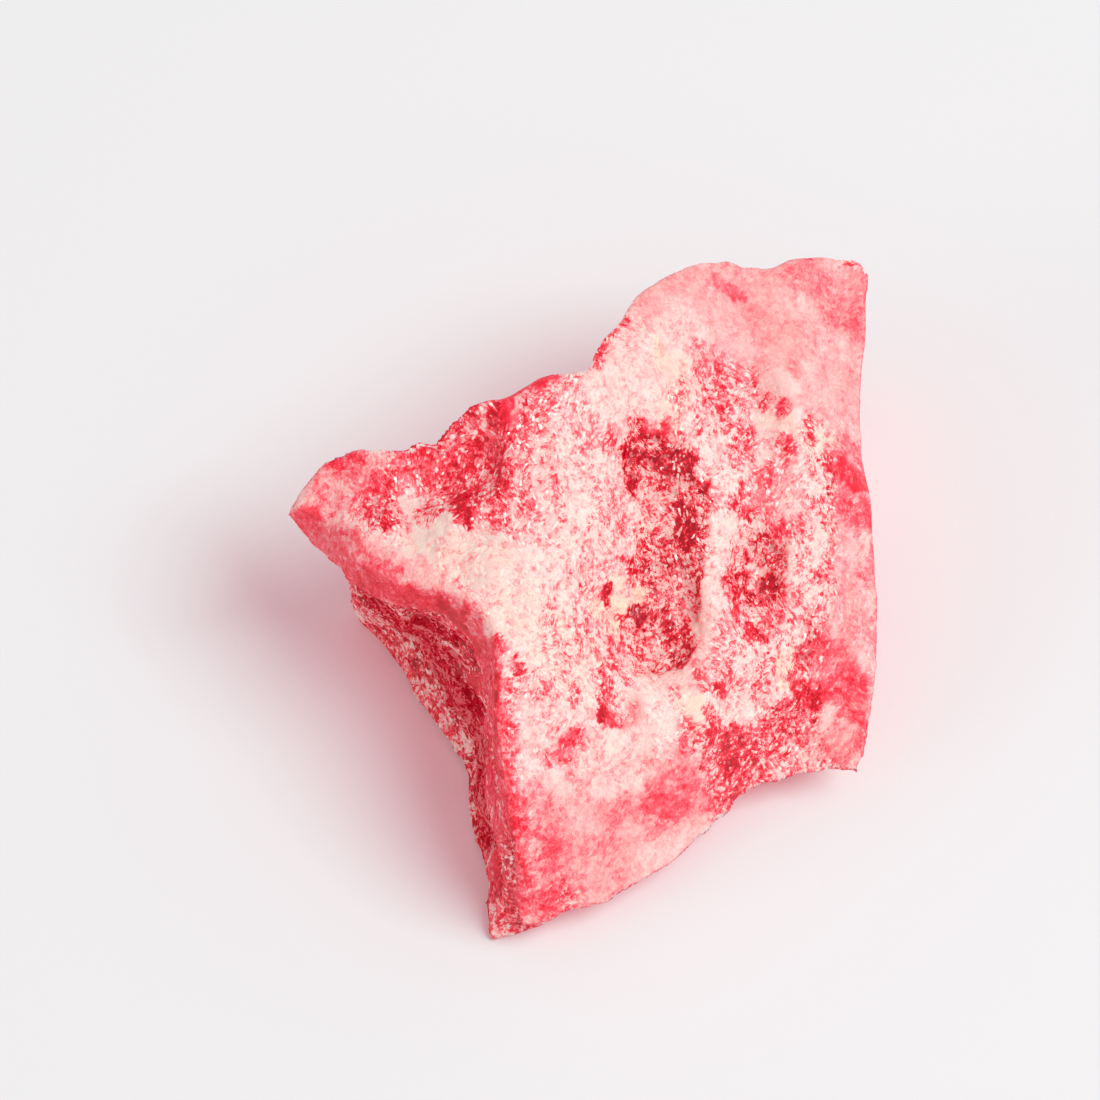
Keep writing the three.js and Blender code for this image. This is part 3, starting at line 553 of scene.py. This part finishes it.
def soften(work):
    """Rounds off the edges of the hollow and the pocket, less towards their borders."""
    places = np.array([vert.co for vert in work.verts]) / MM
    for (_, reach, path), part in itertools.product(SOFT_PLACES, SOFT_PARTS):
        share = stroke_share(places[:, :2], reach * part, path) * (places[:, 2] > SOFT_ABOVE)
        near = [vert for vert, inside in zip(work.verts, share > COVERED) if inside]
        for _ in range(SOFT_ROUNDS):
            bmesh.ops.smooth_vert(
                work, verts=near, factor=PULL, use_axis_x=True, use_axis_y=True, use_axis_z=True,
            )


def solid_skin(settings):
    """The solid's shape as an even mesh, with its facets evened out."""
    rough = bpy.data.objects.new("rough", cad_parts[NODE].data.copy())
    edit(rough.data, join_corners)
    bpy.context.scene.collection.objects.link(rough)
    remesh = rough.modifiers.new("even", "REMESH")
    remesh.mode = "VOXEL"
    remesh.voxel_size = settings.voxel
    smooth = rough.modifiers.new("smooth", "SMOOTH")
    smooth.factor = PULL
    smooth.iterations = settings.smoothing
    graph = bpy.context.evaluated_depsgraph_get()
    mesh = bpy.data.meshes.new_from_object(rough.evaluated_get(graph), depsgraph=graph)
    mesh.name = STONE
    edit(mesh, drop_crumbs)
    edit(mesh, soften)
    bpy.data.objects.remove(rough)
    return mesh


def read(items, name):
    """The three numbers that each item has under a name."""
    values = np.empty(len(items) * AXES, np.float32)
    items.foreach_get(name, values)
    return values.reshape(-1, AXES).astype(float)


# -------------------- chip

# How a point finds its marks: partly by its own place, partly by the middles of the coarse and the fine grain
# that it is in, so that a mark ends at grains, and wandering a little, so that it has no drawn edge.
OWN_PLACE = 0.3
GRAINS = (Patches(0.35, (0.9, 1.5, 0.9), 10), Patches(0.35, (0.45, 0.8, 0.45), 14))
WANDERS = (Patches(0.3, (1.6, 1.6, 1.6), 1), Patches(0.2, (0.7, 0.7, 0.7), 4))

# How the tone varies, coarser than the material's own grain.
WIDE_CLOUDS = (Patches(0.06, (1.8, 2.6, 1.8), 100), Patches(0.14, (0.8, 1.2, 0.8), 101))
BLOCKS = Patches(0.12, (0.5, 1.2, 0.5), 102)
SMALL_CLOUDS = Patches(0.12, (0.35, 0.8, 0.35), 106)
SMOOTH_CALM = 0.6  # how much of it goes where the break is smooth
COARSE_STIR = 1.6  # how much comes to it where the break is coarser than -1
PALE_MOTTLE = 0.4  # what is left of it in the palest places
MOTTLE_TONES = (0.1, 0.5)  # the tones between which it grows from that to all of it
SIDE_MOTTLE = 1.6  # how much stronger it is on the sides

# The relief of the break.
BREAKS = (
    Scars(apart=(1.5, 2.2, 1.5), rise=0.08, lean=0.08, dish=0.14, share=0.8, salt=40),
    Scars(apart=(0.7, 2.2, 0.9), rise=0.05, lean=0.08, dish=0.08, share=0.7, salt=20),
    Scars(apart=(0.55, 0.8, 0.55), rise=0.05, lean=0.16, dish=0.04, share=1.0, salt=60),
)
CRYSTALS = Scars(apart=(0.9, 0.9, 0.9), rise=0.10, lean=0.40, dish=0.10, share=1.0, salt=80)
SMOOTH_FLAT = 0.8  # how much of the relief goes where the break is smooth

UP_FACING = (-0.05, 0.25)  # a face is a side below these heights of its normal, and the top above
STEEP_FACING = (0.2, 0.85)  # a slope of the top is steep below these, and level above
STEEP_SHADE_TONE = 0.22  # how much redder the steep slopes of the top are painted: painted shade, red as the light that comes through the stone
REST_HEIGHTS = (0.05, 0.8)  # the relief grows between these, in millimetres, so that the chip rests flat


def read_places(points):
    """Where each point looks for its marks."""
    places = OWN_PLACE * points
    for way in GRAINS:
        places = places + way.amount * nearest_grains(points, way)[0]
    wander = np.zeros_like(points)
    for way, axis in itertools.product(WANDERS, range(AXES)):
        wander[:, axis] += swell(points, way, axis)
    return places + wander


def mottle(points, tone, smooth):
    """How the tone varies from place to place."""
    wide = sum(swell(points, way) for way in WIDE_CLOUDS)
    blocks = BLOCKS.amount * nearest_grains(points, BLOCKS)[1]
    small = swell(points, SMALL_CLOUDS)
    strength = 1 - SMOOTH_CALM * np.maximum(smooth, 0) + COARSE_STIR * np.maximum(-1 - smooth, 0)
    redness = PALE_MOTTLE + (1 - PALE_MOTTLE) * smooth_step(tone, *MOTTLE_TONES)
    return (wide + (blocks + small)) * strength * redness


def relief_height(points, smooth, relief):
    """How far the broken surface stands out of or is sunk into the solid, in millimetres."""
    coarse = np.clip(-smooth, 0, 1)
    rough = 1 - SMOOTH_FLAT * np.clip(smooth, 0, 1)
    return relief * (rough * sum(scars(points, kind) for kind in BREAKS) + coarse * scars(points, CRYSTALS))


def painted(points, up):
    """The tone, the cream and the smoothness of each point."""
    places = read_places(points)
    flat = places[:, :2]
    tone = SIDE_TONE + (REST_TONE - SIDE_TONE) * up
    tone = paint(tone, places, WALL_TONES, 1 - up)
    tone = paint(tone, flat, TONES, up)
    cream = paint(np.zeros(len(points)), flat, CREAMS, up)
    smooth = paint(SIDE_SMOOTH * (1 - up), flat, SMOOTHS, up)
    smooth = paint(smooth, places, WALL_SMOOTHS, 1 - up)
    return tone, cream, smooth


def carry_relief(mesh, points, facing, height):
    """Moves the mesh's points along their normals, and none of them into the paper."""
    resting = smooth_step(points[:, 2], *REST_HEIGHTS)
    moved = points + facing * (height * resting)[:, None]
    moved[:, 2] = np.maximum(moved[:, 2], 0)
    mesh.vertices.foreach_set("co", (moved * MM).astype(np.float32).ravel())
    mesh.polygons.foreach_set("use_smooth", np.ones(len(mesh.polygons), bool))
    mesh.update()


class MINERAL_OT_chip(bpy.types.Operator):
    """Build the chip of rhodonite over its solid"""

    bl_idname = "mineral.chip"
    bl_label = "Rhodonite Chip"

    def execute(self, context):
        settings = context.scene.mineral_chip
        mesh = solid_skin(settings)
        points = read(mesh.vertices, "co") / MM
        if not len(points):
            raise RuntimeError("the solid gave an empty skin")
        facing = read(mesh.vertex_normals, "vector")
        up = smooth_step(facing[:, 2], *UP_FACING) * (1 - stroke_share(points, *WALL_FOOT))
        tone, cream, smooth = painted(points, up)
        carry_relief(mesh, points, facing, relief_height(points, smooth, settings.relief))
        steep = 1 - smooth_step(read(mesh.vertex_normals, "vector")[:, 2], *STEEP_FACING)
        tone = tone + mottle(points, tone, smooth) * (SIDE_MOTTLE + (1 - SIDE_MOTTLE) * up)
        # Painted shade: the steep slopes of the top are painted redder and lose their cream, for the red
        # light that comes through the stone into their shade.
        tone = tone + STEEP_SHADE_TONE * steep * up
        for name, values in (("tone", tone), ("cream", cream * (1 - steep)), ("smooth", smooth)):
            attribute = mesh.attributes.new(name, "FLOAT", "POINT")
            attribute.data.foreach_set("value", values.astype(np.float32))
        mesh.update()
        mesh.materials.clear()
        mesh.materials.append(broken_rhodonite(context.scene.mineral_colours, settings.grain / MM))
        stone = bpy.data.objects.new(STONE, mesh)
        context.scene.collection.objects.link(stone)
        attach(stone, "root")
        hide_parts(NODE)
        return {"FINISHED"}


# -------------------- materials

Socket = bpy.types.NodeSocket


def add(tree, kind, inputs=(), **settings):
    """Adds a node with its settings and links, and gives its outputs. Inputs go by their name or number."""
    node = tree.nodes.new("ShaderNode" + kind)
    for name, value in settings.items():
        setattr(node, name, value)
    for name, value in inputs.items() if isinstance(inputs, dict) else enumerate(inputs):
        if isinstance(value, Socket):
            tree.links.new(value, node.inputs[name])
        else:
            node.inputs[name].default_value = value
    return node.outputs


def new_material(name):
    material = bpy.data.materials.new(name)
    material.use_nodes = True
    material.node_tree.nodes.clear()
    return material


# The sizes of the rhodonite's patterns, as shares of the grain's size. Where there are three, they lie along
# the axes of each crystal. The finest, fibres and splinters 0.1 mm thick, are as coarse as they need to show.
BEND_SIZE = 2.5
CRYSTAL_SIZE = 4.0
DUST_SIZE = 0.7
GRAIN_SIZE = 0.8
FIBRE_SIZES = (0.28, 1.4, 0.45)
THREAD_SIZES = (0.8, 2.2, 1.3)
SPLINTER_SIZES = (0.3, 0.9, 0.5)
BEND_REACH = 0.9  # how far the crystals' places are bent, in shares of the grain's size too

CRYSTAL_TURN = 1.7  # between the crystals' directions, in radians
BEND_NOISE = {"Detail": 1.0}
DUST_NOISE = {"Detail": 2.0, "Roughness": 0.75}
FIBRE_NOISE = {"Scale": 1.0, "Detail": 2.0, "Roughness": 0.65}
THREAD_NOISE = {"Scale": 1.0, "Detail": 1.0, "Roughness": 0.6}
SPLINTER_CELLS = {"Scale": 1.0}
NOISE_MIDDLE = 0.5
OPAQUE = 1.0
NEW_STOP = 0.5  # where a colour ramp's new stops start from
MIX_UNDER = 6  # the numbers of the Mix node's sockets for colours
MIX_OVER = 7
MIX_RESULT = 2

# How far each pattern moves the tone. Here and below, two numbers say what a value is multiplied by and
# what is added. Four say between which two values something is read, and what it becomes at each of them.
FIBRES = (1.2, -0.6)
DUST = (1.3, -0.65)
GRAIN = (0.52, -0.26)
# the splinters' paleness: partly pale grain, partly painted glint
FLECK_AND_GLINT = 0.45
THREAD = (0.006, 0.024, 0.22, 0.0)
REDNESS = (0.15, 0.6, 0.42, 1.0)  # how much of the speckle there is at a tone
SPLINTER = (0.88, 0.90, 0.0, 1.0)
BUSY = (-0.75, 1.0)  # how much of the speckle there is at a smoothness
PINK_SHADE_FLOOR = (-1.15, -1.15)  # the palest tone at a smoothness, on the coarsest breaks: painted pink shade

DEEPEST = 1.35  # the tone of the darkest colour
TONE_STOPS = (  # the colour of each tone
    (0.0, "frost"), (0.2, "blush"), (0.38, "pink"), (0.55, "rose"), (0.75, "red"), (1.0, "crimson"),
    (DEEPEST, "deep"),
)
CREAM_FADE = (-1.6, 1.0)  # how much cream there is room for at a tone
CRYSTAL_SHADE_SHARE = 0.30  # how much deep crimson is painted between the crystals where the smoothness is -1: painted shade

LEANS = (("grain_colour", 0.3), ("dust_colour", 0.8), ("splinter_colour", 1.0))  # of the faces, and how far
ROUGHNESS = (0.1, 0.8, 0.5, 0.28)  # at a tone
SPLINTER_ROUGHNESS = -0.16
GLOSS = (0.45, 0.8, 0.22, 0.0)  # at a Facing
SPLINTER_GLOSS = (1.8, 1.0)
EVEN_BLEND = 0.5  # with it, Facing is 0 where a face is seen straight on and 1 where it is seen edge-on
COARSEST = (-1.4, -1.0)  # the smoothness of the undercut wall and of the next coarsest breaks
DULL = (*COARSEST, 0.2, 1.0)  # how much of the gloss is left
EMBER = (*COARSEST, 0.15, 0.03)  # the share of the surface that passes light
RHODONITE = {
    "IOR": 1.73,
    "Subsurface Weight": 0.8,
    "Subsurface Radius": (0.5, 0.1, 0.12),
    "Subsurface Scale": 1.0 * MM,
}


def any_way(reach):
    """What a colour is multiplied by and what is added, for a direction up to half the reach either way."""
    return (reach,) * AXES, (-reach / 2,) * AXES


class Patterns(NamedTuple):
    """What the rhodonite's colour and gloss are made from."""

    fibres: Socket
    threads: Socket
    dust: Socket
    dust_colour: Socket
    grain_colour: Socket
    splinter_colour: Socket


def crystal_patterns(tree, grain):
    """The rhodonite's patterns, for a grain's size in millimetres."""
    place = add(tree, "TexCoord")["Object"]
    mm = add(tree, "VectorMath", {0: place, "Scale": 1 / MM}, operation="SCALE")[0]
    # Nothing in the stone runs straight: the crystals' places are bent.
    bend = add(tree, "TexNoise", {"Vector": mm, "Scale": 1 / (BEND_SIZE * grain), **BEND_NOISE})["Color"]
    bend = add(tree, "VectorMath", (bend, *any_way(BEND_REACH * grain)), operation="MULTIPLY_ADD")[0]
    bent = add(tree, "VectorMath", (mm, bend), operation="ADD")[0]
    # Each crystal's fibres lie in a direction of its own.
    crystals = add(tree, "TexVoronoi", {"Vector": bent, "Scale": 1 / (CRYSTAL_SIZE * grain)})["Color"]
    turn = add(tree, "VectorMath", (crystals, *any_way(CRYSTAL_TURN)), operation="MULTIPLY_ADD")[0]
    turned = add(tree, "VectorRotate", {"Vector": mm, "Rotation": turn}, rotation_type="EULER_XYZ")[0]
    fibres, threads, splinters = (
        add(tree, "VectorMath", (turned, [1 / (size * grain) for size in sizes]), operation="MULTIPLY")[0]
        for sizes in (FIBRE_SIZES, THREAD_SIZES, SPLINTER_SIZES)
    )
    fibres = add(tree, "TexNoise", {"Vector": fibres, **FIBRE_NOISE})[0]
    threads = add(tree, "TexNoise", {"Vector": threads, **THREAD_NOISE})[0]
    splinters = add(tree, "TexVoronoi", {"Vector": splinters, **SPLINTER_CELLS})["Color"]
    dust = add(tree, "TexNoise", {"Vector": bent, "Scale": 1 / (DUST_SIZE * grain), **DUST_NOISE})
    grains = add(tree, "TexVoronoi", {"Vector": bent, "Scale": 1 / (GRAIN_SIZE * grain)})["Color"]
    return Patterns(fibres, threads, dust[0], dust[1], grains, splinters)


def fine_threads(tree, threads):
    """Pale threads, as deep as they lighten the tone: they run where the pattern crosses its middle."""
    off = add(tree, "Math", (threads, NOISE_MIDDLE), operation="SUBTRACT")[0]
    off = add(tree, "Math", (off,), operation="ABSOLUTE")[0]
    return add(tree, "MapRange", (off, *THREAD), interpolation_type="SMOOTHSTEP")[0]


def white_and_glinting_splinters(tree, patterns, redness, busy):
    """Which splinters show a cleavage face, painted paler as pale grain and painted glint. They are fainter
    in the pale and in the smooth places.
    """
    value = add(tree, "SeparateColor", (patterns.splinter_colour,))[0]
    splinter = add(tree, "MapRange", (value, *SPLINTER))[0]
    room = add(tree, "Math", (busy, 1.0), operation="MINIMUM")[0]
    room = add(tree, "Math", (redness, room), operation="MULTIPLY")[0]
    return add(tree, "Math", (splinter, room), operation="MULTIPLY")[0]


def speckled(tree, patterns, tone, smooth, busy):
    """The tone with its speckle, and the splinters in it."""
    redness = add(tree, "MapRange", (tone, *REDNESS), interpolation_type="SMOOTHSTEP")[0]
    grains = add(tree, "SeparateColor", (patterns.grain_colour,))[0]
    fibres, dust, grains = (
        add(tree, "Math", (value, *change), operation="MULTIPLY_ADD")[0]
        for value, change in ((patterns.fibres, FIBRES), (patterns.dust, DUST), (grains, GRAIN))
    )
    change = add(tree, "Math", (fibres, dust), operation="ADD")[0]
    change = add(tree, "Math", (change, grains), operation="ADD")[0]
    change = add(tree, "Math", (change, redness), operation="MULTIPLY")[0]
    splinter = white_and_glinting_splinters(tree, patterns, redness, busy)
    # Pale flecks on the splinters: partly pale grain, partly painted glints.
    fleck = add(tree, "Math", (splinter, FLECK_AND_GLINT), operation="MULTIPLY")[0]
    pale = add(tree, "Math", (fleck, fine_threads(tree, patterns.threads)), operation="ADD")[0]
    change = add(tree, "Math", (change, pale), operation="SUBTRACT")[0]
    shifted = add(tree, "Math", (change, busy, tone), operation="MULTIPLY_ADD")[0]
    # On the coarsest breaks, the shaded undercut wall, even the bruises are painted pink: painted shade, red
    # as the light there.
    floor = add(tree, "Math", (smooth, *PINK_SHADE_FLOOR), operation="MULTIPLY_ADD")[0]
    return add(tree, "Math", (shifted, floor), operation="MAXIMUM")[0], splinter


def mineral_colour(tree, shifted, cream, smooth, fibres, colours):
    """The colour of a tone, with cream where it is pale and painted shade between coarse crystals."""
    share = add(tree, "Math", (shifted, 1 / DEEPEST), operation="MULTIPLY")[0]
    colour = add(tree, "ValToRGB", (share,))[0]
    ramp = colour.node.color_ramp
    while len(ramp.elements) < len(TONE_STOPS):
        ramp.elements.new(NEW_STOP)
    for element, (tone, name) in zip(ramp.elements, TONE_STOPS):
        element.position = tone / DEEPEST
        element.color = (*getattr(colours, name), OPAQUE)
    room = add(tree, "Math", (shifted, *CREAM_FADE), operation="MULTIPLY_ADD")[0]
    creamy = add(tree, "Math", (cream, room), operation="MULTIPLY", use_clamp=True)[0]
    base = {"Factor": creamy, MIX_UNDER: colour, MIX_OVER: (*colours.cream, OPAQUE)}
    base = add(tree, "Mix", base, data_type="RGBA")[MIX_RESULT]
    # Painted shade: deep crimson laid between the coarse crystals, where the hollow keeps light out.
    coarse = add(tree, "Math", (smooth, 0.0), operation="MINIMUM")[0]
    coarse = add(tree, "Math", (coarse, coarse), operation="MULTIPLY")[0]
    crystal_shade = add(tree, "Math", (fibres, CRYSTAL_SHADE_SHARE), operation="MULTIPLY")[0]
    crystal_shade = add(tree, "Math", (coarse, crystal_shade), operation="MULTIPLY")[0]
    base = {"Factor": crystal_shade, MIX_UNDER: base, MIX_OVER: (*colours.deep, OPAQUE)}
    return add(tree, "Mix", base, data_type="RGBA")[MIX_RESULT]


def leaning_faces(tree, patterns, splinter, busy):
    """The surface's normal, with each grain's cleavage face leaning its own way."""
    grains, dust, splinters = (
        add(tree, "VectorMath", (getattr(patterns, name), *any_way(reach)), operation="MULTIPLY_ADD")[0]
        for name, reach in LEANS
    )
    lean = add(tree, "VectorMath", (grains, dust), operation="ADD")[0]
    lean = add(tree, "VectorMath", {0: lean, "Scale": busy}, operation="SCALE")[0]
    splinters = add(tree, "VectorMath", {0: splinters, "Scale": splinter}, operation="SCALE")[0]
    lean = add(tree, "VectorMath", (lean, splinters), operation="ADD")[0]
    normal = add(tree, "NewGeometry")["Normal"]
    leaning = add(tree, "VectorMath", (normal, lean), operation="ADD")[0]
    return add(tree, "VectorMath", (leaning,), operation="NORMALIZE")[0]


def grain_gloss(tree, leaning, splinter, smooth):
    """How strongly the faces mirror: a crumbled surface doesn't at a low angle, as a polished one would."""
    facing = add(tree, "LayerWeight", {"Blend": EVEN_BLEND, "Normal": leaning})["Facing"]
    gloss = add(tree, "MapRange", (facing, *GLOSS))[0]
    stronger = add(tree, "Math", (splinter, *SPLINTER_GLOSS), operation="MULTIPLY_ADD")[0]
    gloss = add(tree, "Math", (gloss, stronger), operation="MULTIPLY")[0]
    dull = add(tree, "MapRange", (smooth, *DULL))[0]
    return add(tree, "Math", (gloss, dull), operation="MULTIPLY")[0]


def broken_rhodonite(colours, grain):
    """Massive rhodonite, broken by hand, with the size of its grains in millimetres.

    The clear mineral is seen into, so it is a saturated rose red with light spreading under the surface.
    Bruised grains scatter everything, so they are white to pale pink, and they lie in short streaks along
    the cleavage. Small cleavage faces tilt the reflection from grain to grain, which gives the sparkle, and
    some splinters are painted paler as painted glints.
    """
    material = new_material("hand-broken rhodonite")
    tree = material.node_tree
    tone, cream, smooth = (
        add(tree, "Attribute", attribute_name=name)["Fac"] for name in ("tone", "cream", "smooth")
    )
    patterns = crystal_patterns(tree, grain)
    busy = add(tree, "Math", (smooth, *BUSY), operation="MULTIPLY_ADD")[0]
    shifted, splinter = speckled(tree, patterns, tone, smooth, busy)
    leaning = leaning_faces(tree, patterns, splinter, busy)
    roughness = add(tree, "MapRange", (shifted, *ROUGHNESS))[0]
    roughness = add(tree, "Math", (splinter, SPLINTER_ROUGHNESS, roughness), operation="MULTIPLY_ADD")[0]
    surface = {
        "Base Color": mineral_colour(tree, shifted, cream, smooth, patterns.fibres, colours),
        "Roughness": roughness,
        "Specular IOR Level": grain_gloss(tree, leaning, splinter, smooth),
        "Normal": leaning,
    }
    shader = add(tree, "BsdfPrincipled", {**RHODONITE, **surface})[0]
    # The chip glows red on the side that the light doesn't reach.
    ember = add(tree, "MapRange", (smooth, *EMBER))[0]
    glowing = add(tree, "BsdfTranslucent", {"Color": (*colours.ember, OPAQUE)})[0]
    shader = add(tree, "MixShader", (ember, shader, glowing))[0]
    # Light that goes right through the chip comes out red, so what would be shadow is tinted.
    shadow = add(tree, "LightPath")["Is Shadow Ray"]
    through = add(tree, "BsdfTransparent", {"Color": (*colours.glow, OPAQUE)})[0]
    shader = add(tree, "MixShader", (shadow, shader, through))[0]
    add(tree, "OutputMaterial", {"Surface": shader})
    return material


TOOTH_SIZE = 0.35 * MM
TOOTH_NOISE = {"Detail": 3.0}
TOOTH_DEPTH = {"Strength": 0.25, "Distance": 0.02 * MM}
PAPER = {"Roughness": 0.85, "Specular IOR Level": 0.2}


def uncoated_paper(colour):
    """White drawing paper, uncoated: nearly matt, with a very fine tooth that keeps its white soft."""
    material = new_material("uncoated paper")
    tree = material.node_tree
    place = add(tree, "TexCoord")["Object"]
    tooth = add(tree, "TexNoise", {"Vector": place, "Scale": 1 / TOOTH_SIZE, **TOOTH_NOISE})[0]
    bump = add(tree, "Bump", {"Height": tooth, **TOOTH_DEPTH})[0]
    shader = add(tree, "BsdfPrincipled", {"Base Color": (*colour, OPAQUE), "Normal": bump, **PAPER})[0]
    add(tree, "OutputMaterial", {"Surface": shader})
    return material


# -------------------- stage

VIEW_MIDDLE = Vector((-1.6, 5.2, 0)) * MM  # the place on the paper that the camera looks at
PAPER_SIZE = 4.0  # in metres, so that its edges are out of every view
KEY_FROM = Vector((0.56, -0.12, 0.82))  # the direction that a light comes from
REFLECTOR_FROM = Vector((-0.85, -0.45, 0.26))
LIGHT_DISTANCE = 1.2  # in metres
LIGHT_SIZE = 0.8  # in metres
WHITE = (1, 1, 1, 1)
SENSOR_WIDTH = 36.0  # in millimetres
CLIP_START = 0.01  # in metres
CLIP_END = 10.0


def lay_paper(scene, colour):
    """Lays the sheet of paper under the chip."""
    half = PAPER_SIZE / 2
    mesh = bpy.data.meshes.new("paper")
    corners = [(-half, -half, 0), (half, -half, 0), (half, half, 0), (-half, half, 0)]
    mesh.from_pydata(corners, [], [(0, 1, 2, 3)])
    mesh.materials.append(uncoated_paper(colour))
    paper = bpy.data.objects.new("paper", mesh)
    scene.collection.objects.link(paper)


def hang_light(scene, name, power, direction):
    """Hangs a round, soft light that shines on the chip from a direction."""
    light = bpy.data.lights.new(name, "AREA")
    light.shape = "DISK"
    light.size = LIGHT_SIZE
    light.energy = power
    lamp = bpy.data.objects.new(name, light)
    lamp.location = direction.normalized() * LIGHT_DISTANCE
    lamp.rotation_euler = direction.to_track_quat("Z", "Y").to_euler()
    scene.collection.objects.link(lamp)


def set_fill(scene, strength):
    """Fills the shade with even white light from all round."""
    world = bpy.data.worlds.new("studio")
    world.use_nodes = True
    background = world.node_tree.nodes["Background"]
    background.inputs["Color"].default_value = WHITE
    background.inputs["Strength"].default_value = strength
    scene.world = world


def set_camera(scene, stage):
    """Looks down at the chip, and shows its colours as they are."""
    data = bpy.data.cameras.new("camera")
    data.sensor_width = SENSOR_WIDTH
    data.lens = data.sensor_width * stage.distance / stage.view_width
    data.clip_start = CLIP_START
    data.clip_end = CLIP_END
    camera = bpy.data.objects.new("camera", data)
    back = Vector((0, -math.cos(stage.elevation), math.sin(stage.elevation)))
    camera.location = VIEW_MIDDLE + back * stage.distance
    camera.rotation_euler = back.to_track_quat("Z", "Y").to_euler()
    scene.collection.objects.link(camera)
    scene.camera = camera
    scene.view_settings.view_transform = "Standard"


class MINERAL_OT_stage(bpy.types.Operator):
    """Lay the paper, light it and set the camera"""

    bl_idname = "mineral.stage"
    bl_label = "Paper, Light and Camera"

    def execute(self, context):
        scene = context.scene
        stage = scene.mineral_stage
        lay_paper(scene, stage.paper)
        hang_light(scene, "key", stage.key_power, KEY_FROM)
        hang_light(scene, "reflector", stage.reflector_power, REFLECTOR_FROM)
        set_fill(scene, stage.fill)
        set_camera(scene, stage)
        return {"FINISHED"}


class MINERAL_PT_panel(bpy.types.Panel):
    """The chip, its stage and their settings"""

    bl_label = "Rough Rhodonite"
    bl_idname = "MINERAL_PT_panel"
    bl_space_type = "VIEW_3D"
    bl_region_type = "UI"
    bl_category = "Mineral"

    def draw(self, context):
        scene = context.scene
        for operator, groups in (
            ("mineral.chip", (scene.mineral_chip, scene.mineral_colours)),
            ("mineral.stage", (scene.mineral_stage,)),
        ):
            box = self.layout.box()
            box.operator(operator)
            for group in groups:
                for name in group.__annotations__:
                    box.prop(group, name)


CLASSES = (ChipSettings, ChipColours, StageSettings, MINERAL_OT_chip, MINERAL_OT_stage, MINERAL_PT_panel)


def register():
    for cls in CLASSES:
        bpy.utils.register_class(cls)
    bpy.types.Scene.mineral_chip = PointerProperty(type=ChipSettings)
    bpy.types.Scene.mineral_colours = PointerProperty(type=ChipColours)
    bpy.types.Scene.mineral_stage = PointerProperty(type=StageSettings)


def unregister():
    del bpy.types.Scene.mineral_stage
    del bpy.types.Scene.mineral_colours
    del bpy.types.Scene.mineral_chip
    for cls in reversed(CLASSES):
        bpy.utils.unregister_class(cls)


def main():
    """Builds the chip and its stage."""
    register()
    bpy.ops.mineral.chip()
    bpy.ops.mineral.stage()


if __name__ == "__main__":
    main()
